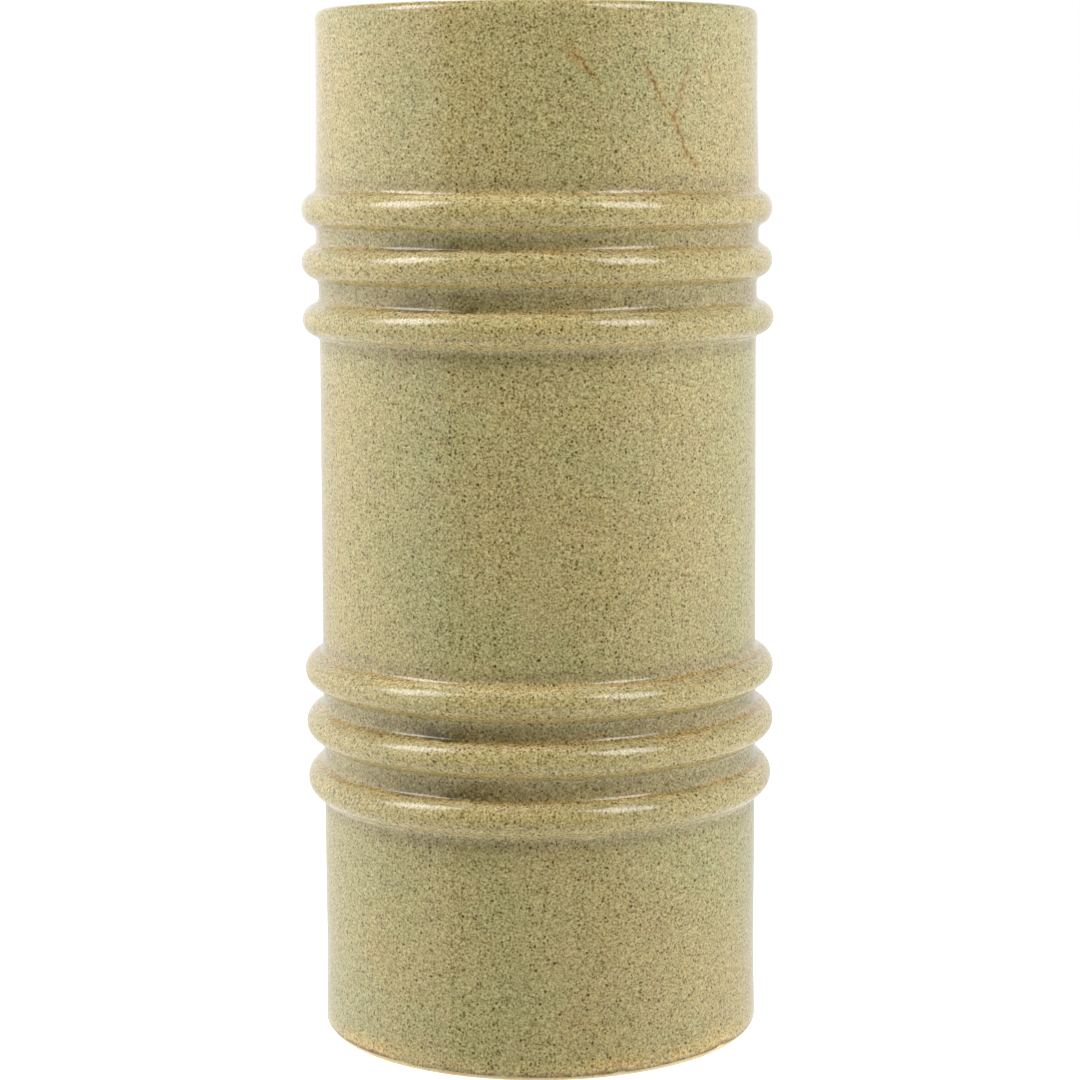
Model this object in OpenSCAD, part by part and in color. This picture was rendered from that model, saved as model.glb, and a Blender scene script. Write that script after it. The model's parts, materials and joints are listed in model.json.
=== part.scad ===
// Tall cylindrical stoneware vase with two groups of three applied clay rings.
// The clay pieces are luted (joined with slip while damp) and fired into one pot,
// then covered outside and inside with glaze.  The foot ring is left bare.
// Millimetres, +Z up, origin on the axis in the plane that the vase stands on.

/* [Body] */
// Overall height, from the table to the top of the glazed lip
height = 280; // [240:1:340]
// Diameter of the glazed cylinder between the rings
body_d = 120; // [90:1:160]
// Thickness of the bare clay wall
wall_t = 5; // [3.5:0.5:8]
// Thickness of the clay floor above the foot ring
floor_t = 8; // [6:0.5:12]
// Radius of the hollow corner where the inside of the wall meets the floor
corner_r = 6; // [3:0.5:12]
// Thickness of the rim of the floor disc that the wall stands on
ledge_t = 4; // [2.5:0.5:5.5]

/* [Rings] */
// Distance from the top of the lip down to the middle ring of the upper group
upper_drop = 68; // [50:1:90]
// Height of the middle ring of the lower group above the table
lower_rise = 85.5; // [60:0.5:110]
// Distance from one ring to the next in a group
ring_pitch = 15; // [13:0.5:20]
// Radius of the round clay coil that each ring is rolled from
coil_r = 4; // [3:0.25:5]
// How far the centre of the coil stands off the clay wall
coil_lift = 0.5; // [0:0.25:2]
// Radius of the hollow where the coil is smoothed onto the wall
blend_r = 2.5; // [1.5:0.25:3.5]
// Depth of the scored seat that a luted piece sits in
seat_t = 0.6; // [0.3:0.1:1.5]

/* [Foot] */
// Height of the foot ring below the floor disc
foot_h = 4; // [3:0.5:8]
// Width of the flat face that the foot ring rests on
foot_w = 7; // [4:0.5:12]
// How far the inner side of the foot ring slopes in towards the floor
foot_slope = 2; // [0:0.5:4]
// Radius of the rounded edges of the rest face
foot_edge_r = 0.8; // [0.4:0.1:1.2]

/* [Glaze] */
// Thickness of the fired glaze
glaze_t = 0.5; // [0.3:0.1:1]
// Height of the bare clay band that the glaze leaves above the table
bare_h = 1.2; // [0.9:0.1:2.5]

/* [Hidden] */

$fn = 128;

// Steps along the round stretches of an outline
coil_steps = 24;
blend_steps = 8;
lip_steps = 24;
corner_steps = 10;
edge_steps = 6;

// Radii of the bare clay cylinder
clay_r = body_d / 2 - glaze_t;
bore_r = clay_r - wall_t;

// The lip is a full round on the top of the wall
lip_r = wall_t / 2;
lip_x = clay_r - lip_r;
lip_z = height - glaze_t - lip_r;

// Levels of the floor disc: the ledge carries the wall, the boss inside it is the floor
ledge_z = foot_h + ledge_t;
floor_z = foot_h + floor_t;
boss_r = bore_r - corner_r;

// Foot ring
foot_x = clay_r - foot_edge_r;
foot_in = clay_r - foot_w - 2 * foot_edge_r;
foot_top_in = foot_in - foot_slope;

// Rings: each coil's centre, and the centre of the hollow that blends it into the wall
coil_x = clay_r + coil_lift;
blend_x = clay_r + blend_r;
blend_rise = sqrt(pow(coil_r + blend_r, 2) - pow(blend_x - coil_x, 2));
blend_angle = atan2(blend_rise, blend_x - coil_x);
upper_z = height - upper_drop;
lower_z = lower_rise;
RINGS = [lower_z - ring_pitch, lower_z, lower_z + ring_pitch,
         upper_z - ring_pitch, upper_z, upper_z + ring_pitch];

// Colours
CLAY = [0.80, 0.71, 0.55];
RING_CLAY = [0.74, 0.64, 0.47];
GLAZE = [0.66, 0.62, 0.43];
LINING = [0.70, 0.67, 0.50];

// Points along an arc about (x, z), from angle a to angle b
function arc(x, z, r, a, b, steps) =
    [for (i = [0 : steps])
        let (t = a + (b - a) * i / steps)
        [x + r * cos(t), z + r * sin(t)]];

// Points of a list in the opposite order
function reversed(points) = [for (i = [len(points) - 1 : -1 : 0]) points[i]];

// Outside of one ring, bottom to top, at a distance skin outside the clay:
// hollow, round coil, hollow
function ring_outline(z, skin) = concat(
    arc(blend_x, z - blend_rise, blend_r - skin, 180, 180 - blend_angle, blend_steps),
    arc(coil_x, z, coil_r + skin, -blend_angle, blend_angle, coil_steps),
    arc(blend_x, z + blend_rise, blend_r - skin, 180 + blend_angle, 180, blend_steps));

// Seat of one ring in the clay wall, bottom to top
function seat_outline(z) = [
    [clay_r, z - blend_rise],
    [clay_r - seat_t, z - blend_rise],
    [clay_r - seat_t, z + blend_rise],
    [clay_r, z + blend_rise]];

// Outside of the pot from the glaze line over the lip, at a distance skin outside the clay
function pot_outline(skin) = concat(
    [[clay_r + skin, bare_h]],
    [for (z = RINGS) each ring_outline(z, skin)],
    arc(lip_x, lip_z, lip_r + skin, 0, 180, lip_steps));

// Inside of the pot from the lip down to the axis, at a distance skin inside the clay
function bore_outline(skin) = concat(
    [[bore_r - skin, lip_z]],
    arc(boss_r, floor_z + corner_r, corner_r - skin, 0, -90, corner_steps),
    [[0, floor_z + skin]]);

// Thrown cylinder with a round lip, a hollow inner corner and a seat for each ring
module wall() {
    color(CLAY)
    rotate_extrude()
    polygon(concat(
        [[boss_r, ledge_z], [clay_r, ledge_z]],
        [for (z = RINGS) each seat_outline(z)],
        arc(lip_x, lip_z, lip_r, 0, 180, lip_steps),
        arc(boss_r, floor_z + corner_r, corner_r, 0, -90, corner_steps)));
}

// Floor: a disc whose boss fits inside the wall, with a step below for the foot ring
module floor_disc() {
    color(CLAY)
    rotate_extrude()
    polygon([
        [0, foot_h - seat_t],
        [foot_top_in, foot_h - seat_t],
        [foot_top_in, foot_h],
        [clay_r, foot_h],
        [clay_r, ledge_z],
        [boss_r, ledge_z],
        [boss_r, floor_z],
        [0, floor_z]]);
}

// Turned foot ring, bare where the glaze stops, with rounded edges round a flat rest face
module foot_ring() {
    color(CLAY)
    rotate_extrude()
    polygon(concat(
        arc(foot_in + foot_edge_r, foot_edge_r, foot_edge_r, 180, 270, edge_steps),
        arc(foot_x, foot_edge_r, foot_edge_r, -90, 0, edge_steps),
        [[clay_r, foot_h], [foot_top_in, foot_h], [foot_top_in, foot_h - seat_t]]));
}

// One clay ring: a coil pressed into its seat and smoothed onto the wall
module coil_ring(z) {
    color(RING_CLAY)
    rotate_extrude()
    polygon(concat(
        [[clay_r - seat_t, z - blend_rise]],
        ring_outline(z, 0),
        [[clay_r - seat_t, z + blend_rise]]));
}

module upper_ring_top() {
    coil_ring(upper_z + ring_pitch);
}

module upper_ring_middle() {
    coil_ring(upper_z);
}

module upper_ring_bottom() {
    coil_ring(upper_z - ring_pitch);
}

module lower_ring_top() {
    coil_ring(lower_z + ring_pitch);
}

module lower_ring_middle() {
    coil_ring(lower_z);
}

module lower_ring_bottom() {
    coil_ring(lower_z - ring_pitch);
}

// Speckled glaze over the wall, the rings and the lip, stopping short of the table
module outer_glaze() {
    color(GLAZE)
    rotate_extrude()
    polygon(concat(pot_outline(glaze_t), reversed(pot_outline(0))));
}

// Glaze lining of the wall and the floor, which makes the vase hold water
module inner_glaze() {
    color(LINING)
    rotate_extrude()
    polygon(concat(bore_outline(0), reversed(bore_outline(glaze_t))));
}

wall();
floor_disc();
foot_ring();
upper_ring_top();
upper_ring_middle();
upper_ring_bottom();
lower_ring_top();
lower_ring_middle();
lower_ring_bottom();
outer_glaze();
inner_glaze();
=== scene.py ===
# %% [markdown]
# # A tall stoneware vase with six applied rings
#
# The real vase is a thrown and turned stoneware cylinder. Six rolled clay coils are luted
# round it in two groups of three, and a speckled, sage-coloured glaze covers everything but
# the foot. This lesson builds each of those pieces as its own watertight mesh in Blender,
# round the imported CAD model, which fixes every size.

import json
import math

import bpy
import numpy as np
from mathutils import Matrix, Vector

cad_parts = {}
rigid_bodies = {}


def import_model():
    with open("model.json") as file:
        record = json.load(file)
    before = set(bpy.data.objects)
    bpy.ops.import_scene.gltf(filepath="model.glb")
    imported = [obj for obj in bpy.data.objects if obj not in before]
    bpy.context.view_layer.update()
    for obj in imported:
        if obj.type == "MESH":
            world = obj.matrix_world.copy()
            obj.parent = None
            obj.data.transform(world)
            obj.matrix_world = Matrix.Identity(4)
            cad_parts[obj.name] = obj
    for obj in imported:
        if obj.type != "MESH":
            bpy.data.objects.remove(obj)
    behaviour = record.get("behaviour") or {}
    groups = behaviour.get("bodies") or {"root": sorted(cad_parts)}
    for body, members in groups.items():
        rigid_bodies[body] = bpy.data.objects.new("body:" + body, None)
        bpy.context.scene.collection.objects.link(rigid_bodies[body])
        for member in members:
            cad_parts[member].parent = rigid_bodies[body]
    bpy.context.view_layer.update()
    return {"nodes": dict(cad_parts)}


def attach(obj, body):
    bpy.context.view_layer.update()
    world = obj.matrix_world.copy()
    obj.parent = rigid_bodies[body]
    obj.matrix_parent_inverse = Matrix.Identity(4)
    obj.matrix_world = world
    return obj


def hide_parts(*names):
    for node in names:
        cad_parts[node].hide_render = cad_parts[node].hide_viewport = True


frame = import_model()

# %% [markdown]
# ## Reading the sizes
#
# Blender works in metres, and a potter thinks in millimetres, so the outlines here are in
# millimetres and are scaled once, when a mesh is made. Every size is read from the CAD
# nodes: a node's corners, as distance from the axis and height, hold all its radii and levels.

# %% Radii and levels of the CAD nodes
MM = 0.001
# A corner lower than this, in millimetres, touches the table.
ON_TABLE = 0.001
# A length under this, in millimetres, counts as nought.
TINY = 1e-6


def corners(name):
    """The corners of a CAD node as rows of (distance from the axis, height), in millimetres."""
    mesh = frame["nodes"][name].data
    places = np.empty(len(mesh.vertices) * 3)
    mesh.vertices.foreach_get("co", places)
    x, y, z = places.reshape(-1, 3).T / MM
    return np.column_stack([np.hypot(x, y), z])


def lowest(name):
    return float(corners(name)[:, 1].min())


def highest(name):
    return float(corners(name)[:, 1].max())


def widest(name):
    return float(corners(name)[:, 0].max())


def narrowest(name):
    return float(corners(name)[:, 0].min())


clay_radius = widest("wall")
bore_radius = widest("inner_glaze")
boss_radius = narrowest("wall")
glaze_thickness = highest("outer_glaze") - highest("wall")
glaze_line = lowest("outer_glaze")
lip_radius = (clay_radius - bore_radius) / 2
lip_x = clay_radius - lip_radius
lip_z = highest("wall") - lip_radius
lip_top = highest("outer_glaze")
corner_radius = bore_radius - boss_radius
ledge_z = lowest("wall")
floor_z = highest("floor_disc")
foot_z = highest("foot_ring")
seat_depth = foot_z - lowest("floor_disc")
foot_top_inner = narrowest("foot_ring")
foot_corners = corners("foot_ring")
rest_face = foot_corners[foot_corners[:, 1] < ON_TABLE]
rest_inner = float(rest_face[:, 0].min())
rest_outer = float(rest_face[:, 0].max())
foot_edge = clay_radius - rest_outer
print(f"clay radius {clay_radius:.2f}, bore {bore_radius:.2f}, lip top {lip_top:.2f} mm")
print(f"glaze {glaze_thickness:.2f} mm thick, stopping {glaze_line:.2f} mm above the table")

# %% Levels and shape of the rings
RINGS = [
    "lower_ring_bottom",
    "lower_ring_middle",
    "lower_ring_top",
    "upper_ring_bottom",
    "upper_ring_middle",
    "upper_ring_top",
]
ring_levels = [(lowest(ring) + highest(ring)) / 2 for ring in RINGS]
ring_half = (highest(RINGS[0]) - lowest(RINGS[0])) / 2
crest_radius = widest(RINGS[0])

# The coil was rolled 8 mm thick. The hollow that smooths it onto the wall touches both the
# coil and the wall, and that gives its radius.
coil_radius = 4.0
coil_x = crest_radius - coil_radius
coil_lift = coil_x - clay_radius
hollow_radius = (ring_half**2 + coil_lift**2 - coil_radius**2) / (2 * (coil_radius + coil_lift))
hollow_x = clay_radius + hollow_radius
hollow_angle = math.degrees(math.atan2(ring_half, hollow_x - coil_x))
print("ring levels, mm:", [round(level, 2) for level in ring_levels])
print(f"crest radius {crest_radius:.2f}, hollow radius {hollow_radius:.2f} mm")

# %% [markdown]
# ## Outlines
#
# A pot from the wheel is a surface of revolution: one outline turned round the axis. The
# outline could be a curve with a Screw modifier, but here it is a list of points, because
# each point then also knows how far it is from a ring's crest, the lip and the foot, and the
# glaze needs that. Points are close together where the surface bends and far apart where it
# is straight.


# %% Outline helpers
# A power of 1 leaves the lip a half circle, and a smaller one presses it square.
LIP_SQUARENESS = 0.8
# Steps along a hollow, a coil, the lip and the inner corner.
HOLLOW_STEPS = 5
COIL_STEPS = 20
LIP_STEPS = 20
CORNER_STEPS = 10


def arc(x, z, radius, start, end, steps):
    """Points on part of a circle about (x, z), from one angle to the other in degrees."""
    angles = np.radians(np.linspace(start, end, steps + 1))
    return np.column_stack([x + radius * np.cos(angles), z + radius * np.sin(angles)])


def spaced(points, spacing):
    """The outline with extra points, so that no step is longer than spacing, and none is nought."""
    result = [points[0]]
    for start, end in zip(points[:-1], points[1:]):
        length = math.dist(start, end)
        if length < TINY:
            continue
        steps = math.ceil(length / spacing - TINY)
        result.extend(start + (end - start) * step / steps for step in range(1, steps + 1))
    return np.array(result)


def lip_outline(skin, steps):
    """Over the lip from outside to inside: a half circle, pressed a little square by the fingers."""
    turn = np.radians(np.linspace(0, 180, steps + 1))
    across = np.sign(np.cos(turn)) * np.abs(np.cos(turn)) ** LIP_SQUARENESS
    up = np.abs(np.sin(turn)) ** LIP_SQUARENESS
    return np.column_stack([lip_x + (lip_radius + skin) * across, lip_z + (lip_radius + skin) * up])


def ring_outline(level, skin, detail=1.0):
    """One ring from bottom to top, a distance skin outside the clay: hollow, round coil, hollow."""
    few = round(HOLLOW_STEPS * detail)
    many = round(COIL_STEPS * detail)
    low = arc(hollow_x, level - ring_half, hollow_radius - skin, 180, 180 - hollow_angle, few)
    coil = arc(coil_x, level, coil_radius + skin, -hollow_angle, hollow_angle, many)
    high = arc(hollow_x, level + ring_half, hollow_radius - skin, 180 + hollow_angle, 180, few)
    return np.vstack([low, coil, high])


def pot_outline(skin, bottom, detail=1.0):
    """The pot's outside from the level bottom, up over the six rings and the lip to its inner side."""
    rings = [ring_outline(level, skin, detail) for level in ring_levels]
    lip = lip_outline(skin, round(LIP_STEPS * detail))
    return np.vstack([[[clay_radius + skin, bottom]], *rings, lip])


def bore_outline(skin):
    """The pot's inside, a distance skin off the clay, from the lip down and in to the axis."""
    corner = arc(boss_radius, floor_z + corner_radius, corner_radius - skin, 0, -90, CORNER_STEPS)
    return np.vstack([[[bore_radius - skin, lip_z]], corner, [[0, floor_z + skin]]])


print("radius of the lip, mm:", round(lip_radius, 2))

# %% [markdown]
# ## The maker's hand
#
# Nothing thrown on a wheel is a perfect cylinder. Each ring sits a little high or low and
# leans a little, the wall swells and draws in by some tenths of a millimetre, and each coil
# is thicker in some places. One function holds all of this and bends every piece alike, so
# that the clay still fits inside its glaze everywhere.

# %% How far each ring sits from its drawn level, and how thick its coil was
TURNS = 240
BACK = math.pi / 2
# The lip moves as one from this far below its middle.
LIP_ZONE = 12
around = BACK + np.linspace(0, 2 * math.pi, TURNS, endpoint=False)
rng = np.random.default_rng(1974)

# For each ring from the lowest, in mm: how far it sits above its level, how far it leans, and
# how much thicker its coil is.
ring_shift = [-0.1, 0.55, 0.45, 0.15, 0.65, -0.15]
ring_lean = [0.3, 0.3, 0.3, 0.1, 0.05, 0.0]
ring_thickness = [-0.15, 0.3, 0.4, 0.1, -0.4, -0.7]


def wander(strength, slowest, fastest):
    """A smooth random change round the pot, as strong as strength: from slowest to fastest waves."""
    total = np.zeros(TURNS)
    for waves in range(slowest, fastest + 1):
        total += np.cos(waves * around + rng.uniform(0, 2 * math.pi)) * rng.normal() / waves
    return strength * total / max(1e-9, np.abs(total).max())


knot_levels = [0.0, foot_z]
knot_rise = [np.zeros(TURNS), np.zeros(TURNS)]
knot_thickness = [np.zeros(TURNS), np.zeros(TURNS)]
for level, shift, lean, thickness in zip(ring_levels, ring_shift, ring_lean, ring_thickness):
    rise = shift + lean * np.cos(around) + wander(0.12, 2, 7)
    coil = thickness + wander(0.18, 1, 9)
    for edge in (level - ring_half, level + ring_half):
        knot_levels.append(edge)
        knot_rise.append(rise)
        knot_thickness.append(coil)
knot_levels += [lip_z - LIP_ZONE, lip_top]
knot_rise += [wander(0.08, 1, 4) - 0.04] * 2
knot_thickness += [np.zeros(TURNS)] * 2
print("knots of the hand-made shape:", [round(level, 1) for level in knot_levels])

# %% How the wall swells with height, and how far it is out of round
# Each is (height, how far the wall stands out there), in mm.
SWELLS = [
    (0, 0.42),
    (5, 0.4),
    (11, 0.22),
    (20, 0.04),
    (46, 0.1),
    (79, 0.12),
    (117, -0.05),
    (158, -0.26),
    (190, -0.4),
    (205, -0.22),
    (221, 0.22),
    (235, 0.1),
    (246, -0.17),
    (256, -0.4),
    (272, -0.5),
    (280, -0.5),
]
swell_levels, swell_amounts = zip(*SWELLS)
# The corners between those straight lines are softened over a window of some millimetres.
SOFT_REACH = 4
fine_levels = np.arange(-20.0, 301.0)
soft_window = np.hanning(2 * SOFT_REACH + 1)
soft_window = soft_window / soft_window.sum()
fine_swell = np.interp(fine_levels, swell_levels, swell_amounts)
fine_swell = np.pad(fine_swell, SOFT_REACH, mode="edge")
fine_swell = np.convolve(fine_swell, soft_window, mode="valid")
out_of_round = [wander(0.14, 2, 3), wander(0.12, 2, 4), wander(0.2, 2, 3)]
out_of_round_levels = [0, 140, 280]


def weights(levels, knots):
    """How much each knot counts at each level: straight-line weights that add up to one."""
    return np.column_stack([np.interp(levels, knots, row) for row in np.eye(len(knots))])


# The fingers left a spiral of throwing ripples inside, which fades below the lip and at the floor.
RIPPLE_PITCH = 9.0
RIPPLE_DEPTH = 0.14
RIPPLE_START = 8.0
RIPPLE_FADE = 30.0
RIPPLE_FLOOR_FADE = 20.0


def made_by_hand(outline):
    """An outline's points all round the pot, bent as the maker's hand left them: x, y, z in mm."""
    radius, level = outline.T
    rise = weights(level, knot_levels) @ np.array(knot_rise)
    thickness = weights(level, knot_levels) @ np.array(knot_thickness)
    round_error = weights(level, out_of_round_levels) @ np.array(out_of_round)
    coil_share = np.clip((radius - clay_radius) / (crest_radius + glaze_thickness - clay_radius), 0, 1)
    wall_share = np.clip(radius / bore_radius, 0, 1) ** 3
    swell = np.interp(level, fine_levels, fine_swell)
    below_lip = np.clip((lip_z - RIPPLE_START - level) / RIPPLE_FADE, 0, 1)
    above_floor = np.clip((level - floor_z) / RIPPLE_FLOOR_FADE, 0, 1)
    inside = np.clip((lip_x - radius) / lip_radius, 0, 1) * (below_lip * above_floor)
    ripple = RIPPLE_DEPTH * np.sin(2 * math.pi * level[:, None] / RIPPLE_PITCH + around)
    wide = (
        radius[:, None]
        + wall_share[:, None] * (swell[:, None] + round_error)
        + coil_share[:, None] * thickness
        + inside[:, None] * ripple
    )
    return np.stack([wide * np.cos(around), wide * np.sin(around), level[:, None] + rise], axis=-1)


print(f"swell from {min(swell_amounts)} to {max(swell_amounts)} mm, ripples {RIPPLE_DEPTH} mm")

# %% [markdown]
# ## From outline to mesh
#
# The bent outline becomes a grid of corners, and four neighbours make a face. Where the
# outline reaches the axis, one corner stands for the whole turn and the faces are triangles,
# so that no face has zero area. Each mesh is closed. The seam of its map is at the back, as
# on a label round a can, and the side that shows gets nearly all of the map.


# %% The function that turns an outline into a piece
def turned_piece(name, outline, shown=1.0, hidden_rows=0, rise=0.0):
    """One watertight piece from a closed outline. The last hidden_rows get 1 - shown of the map."""
    radius, level = outline.T
    area = np.sum(radius * np.roll(level, -1) - np.roll(radius, -1) * level)
    assert area > 0, f"the outline of {name} has to run anticlockwise"
    grid = made_by_hand(outline)
    grid[:, :, 2] += rise
    on_axis = outline[:, 0] < TINY
    first = np.concatenate([[0], np.cumsum(np.where(on_axis, 1, TURNS))])
    places = [row[:1] * [0, 0, 1] if pole else row for row, pole in zip(grid, on_axis)]
    steps = np.linalg.norm(np.roll(outline, -1, axis=0) - outline, axis=1)
    rows = len(outline)
    along = np.concatenate([[0], np.cumsum(steps)])
    if hidden_rows:
        split = rows - hidden_rows
        front = along[split]
        back = along[-1] - front
        hidden_share = (along - front) / back * (1 - shown)
        along = np.where(along <= front, along / front * shown, shown + hidden_share)
    else:
        along = along / along[-1]
    faces, flat_map = [], []
    turn = np.arange(TURNS)
    for low in range(rows):
        high = (low + 1) % rows
        if on_axis[low] and on_axis[high]:
            continue
        a = first[low] + (0 * turn if on_axis[low] else turn)
        b = first[low] + (0 * turn if on_axis[low] else (turn + 1) % TURNS)
        c = first[high] + (0 * turn if on_axis[high] else (turn + 1) % TURNS)
        d = first[high] + (0 * turn if on_axis[high] else turn)
        left, right = turn / TURNS, (turn + 1) / TURNS
        bottom, top = along[low], along[low + 1]
        for i in range(TURNS):
            face = [
                (a[i], left[i], bottom),
                (b[i], right[i], bottom),
                (c[i], right[i], top),
                (d[i], left[i], top),
            ]
            if on_axis[low]:
                del face[1]
            elif on_axis[high]:
                del face[2]
            faces.append([int(corner[0]) for corner in face])
            flat_map.extend((corner[1], corner[2]) for corner in face)
    mesh = bpy.data.meshes.new(name)
    mesh.from_pydata((np.vstack(places) * MM).tolist(), [], faces)
    layer = mesh.uv_layers.new(name="OFBake")
    layer.uv.foreach_set("vector", np.array(flat_map, np.float32).ravel())
    mesh.polygons.foreach_set("use_smooth", np.ones(len(faces), bool))
    mesh.update()
    piece = bpy.data.objects.new(name, mesh)
    bpy.context.scene.collection.objects.link(piece)
    print(f"{name}: {len(mesh.vertices)} corners, {len(faces)} faces")
    return piece


def remember(piece, outline, name, values):
    """Keeps one number for each outline row and turn on the mesh, for its material to read."""
    values = np.broadcast_to(values, (len(outline), TURNS))
    on_axis = outline[:, 0] < TINY
    rows = [row[:1] if pole else row for row, pole in zip(values, on_axis)]
    kept = piece.data.attributes.new(name, "FLOAT", "POINT")
    kept.data.foreach_set("value", np.concatenate(rows).astype(np.float32))


def placed(piece, node):
    """The piece rides on the one body and stands for its CAD node, which is hidden."""
    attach(piece, "root")
    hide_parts(node)


print("turns in every piece:", TURNS)

# %% [markdown]
# ## The thrown wall
#
# The wall is the pot under its glaze: a cylinder with a round lip, a hollow inner corner, and
# a shallow scored seat for each coil. Nothing of it shows on the finished vase, but it is a
# piece of its own, as on the real one.

# %% Wall
seat_radius = clay_radius - seat_depth
wall_outline = [[boss_radius, ledge_z], [clay_radius, ledge_z]]
for level in ring_levels:
    wall_outline += [
        [clay_radius, level - ring_half],
        [seat_radius, level - ring_half],
        [seat_radius, level + ring_half],
        [clay_radius, level + ring_half],
    ]
lip = lip_outline(0.0, steps=12)
corner = arc(boss_radius, floor_z + corner_radius, corner_radius, 0, -90, steps=8)
wall_outline = np.vstack([wall_outline, lip, corner, wall_outline[:1]])
wall_outline = spaced(wall_outline, spacing=6.0)[:-1]
wall = turned_piece("thrown_wall", wall_outline)
placed(wall, "wall")

# %% [markdown]
# ## The floor disc
#
# The disc closes the cylinder. Its underside shows inside the foot ring, where the turning
# tool left a shallow spiral. The tool marks are in the mesh as rings a tenth of a millimetre
# deep, spaced as a loop tool spaces them, and the middle stands up by a quarter of a
# millimetre, where the tool pressed less.

# %% Floor disc
TOOL_PITCH = 2.6
TOOL_DEPTH = 0.1
MIDDLE_RISE = 0.25
under = np.linspace(0.0, foot_top_inner, 90)
under_rise = TOOL_DEPTH * (0.5 - 0.5 * np.cos(2 * math.pi * under / TOOL_PITCH))
under_rise += MIDDLE_RISE * np.clip(1 - under / foot_top_inner, 0, 1)
under_rise[-1] = 0.0
underside = np.column_stack([under, foot_z - seat_depth + under_rise])
rest_of_disc = np.array([
    [foot_top_inner, foot_z - seat_depth],
    [foot_top_inner, foot_z],
    [clay_radius, foot_z],
    [clay_radius, ledge_z],
    [boss_radius, ledge_z],
    [boss_radius, floor_z],
    [0.0, floor_z],
])
floor_outline = np.vstack([underside, spaced(rest_of_disc, spacing=6.0)[1:]])
floor_disc = turned_piece("turned_floor", floor_outline)
placed(floor_disc, "floor_disc")

# %% [markdown]
# ## The foot ring
#
# The foot is the one place where bare clay shows: a narrow band under the glaze line and the
# flat face that the vase stands on. Its edges are worn round, its inner side slopes, and the
# rest face has fine turning lines that stop at the flat.

# %% Foot ring
REST_LINE_PITCH = 1.0
REST_LINE_DEPTH = 0.03
rest = np.linspace(rest_inner, rest_outer, 29)
rest_lines = REST_LINE_DEPTH * (1 - np.cos(2 * math.pi * (rest - rest_inner) / REST_LINE_PITCH)) / 2
sides = np.array([
    [clay_radius, foot_edge],
    [clay_radius, foot_z],
    [foot_top_inner, foot_z],
    [foot_top_inner, foot_z - seat_depth],
    [rest_inner - foot_edge, foot_edge],
])
foot_outline = np.vstack([
    arc(rest_inner, foot_edge, foot_edge, 180, 270, steps=6),
    np.column_stack([rest, rest_lines])[1:-1],
    arc(rest_outer, foot_edge, foot_edge, -90, 0, steps=6),
    spaced(sides, spacing=0.8)[1:-1],
])
foot_ring = turned_piece("turned_foot", foot_outline)
placed(foot_ring, "foot_ring")

# %% [markdown]
# ## The six coils
#
# Each coil was rolled by hand, wrapped round the damp wall, pressed into its seat with slip
# and smoothed above and below. Six calls of one function make them.

# %% Coils
for ring, level in zip(RINGS, ring_levels):
    bottom = [[seat_radius, level - ring_half]]
    top = [[seat_radius, level + ring_half]]
    coil_outline = np.vstack([bottom, ring_outline(level, 0.0), top, bottom])
    coil_outline = spaced(coil_outline, spacing=3.0)[:-1]
    coil = turned_piece(ring.replace("ring", "coil"), coil_outline)
    placed(coil, ring)

# %% [markdown]
# ## The glaze coat
#
# The glaze is a half-millimetre skin of glass. It is a closed solid: its outer face follows
# the clay at that distance, turns round a fat rolled edge above the foot, and comes back
# along the clay. Each point keeps how far along the outline it is, because a glaze runs thin
# on edges and thick in hollows, and its colour changes with it.

# %% Outer face, rolled edge and inner face
edge_radius = glaze_thickness / 2
edge_x = clay_radius + edge_radius
edge_z = glaze_line + edge_radius
outer_face = spaced(pot_outline(glaze_thickness, edge_z), spacing=3.0)
inner_face = spaced(pot_outline(0.0, edge_z, detail=0.5)[::-1], spacing=8.0)
rolled_edge = arc(edge_x, edge_z, edge_radius, 180, 360, steps=8)[1:-1]
coat_outline = np.vstack([outer_face, inner_face, rolled_edge])
unseen = len(inner_face) + len(rolled_edge)

# The glaze line was wiped with a sponge, so it wavers, and it was nicked in a few places.
# Each nick is (angle in degrees from the right-hand side, height in mm, half width in mm).
NICKS = [
    (-69.6, 0.45, 1.4),
    (-36.0, 0.55, 1.7),
    (-128.0, 0.3, 2.2),
    (71.0, 0.5, 1.8),
    (158.0, 0.4, 1.5),
]
# The waver dies away over this height, in mm, above the edge.
WAVER_HEIGHT = 1.5
# Share of a glaze piece's map that its wet side gets.
WET_SHARE = 0.94
waver = wander(0.22, 3, 24)
for angle, height, half_width in NICKS:
    apart = (around - math.radians(angle) + math.pi) % (2 * math.pi) - math.pi
    waver += height * np.exp(-((apart * clay_radius / half_width) ** 2))
near_edge = np.exp(-np.clip(coat_outline[:, 1] - edge_z, 0, None) / WAVER_HEIGHT)
edge_rise = near_edge[:, None] * waver
coat = turned_piece("speckled_glaze_coat", coat_outline, WET_SHARE, unseen, edge_rise)
placed(coat, "outer_glaze")

# %% What each point of the coat remembers
steps = np.linalg.norm(np.diff(outer_face, axis=0), axis=1)
travelled = np.concatenate([[0], np.cumsum(steps)])
outline_length = float(travelled[-1])
crest_x = coil_x + coil_radius + glaze_thickness
crest_at = [
    float(travelled[np.argmin(np.hypot(outer_face[:, 0] - crest_x, outer_face[:, 1] - level))])
    for level in ring_levels
]
lip_at = outline_length - math.pi / 2 * (lip_radius + glaze_thickness)


def over_coat(values, behind):
    """Values of the outer face, and one value for every row that it doesn't cover."""
    hidden = np.full((len(coat_outline) - len(values), values.shape[1]), behind)
    return np.vstack([values, hidden])


remember(coat, coat_outline, "along_outline", over_coat(travelled[:, None], 0.0))
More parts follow.
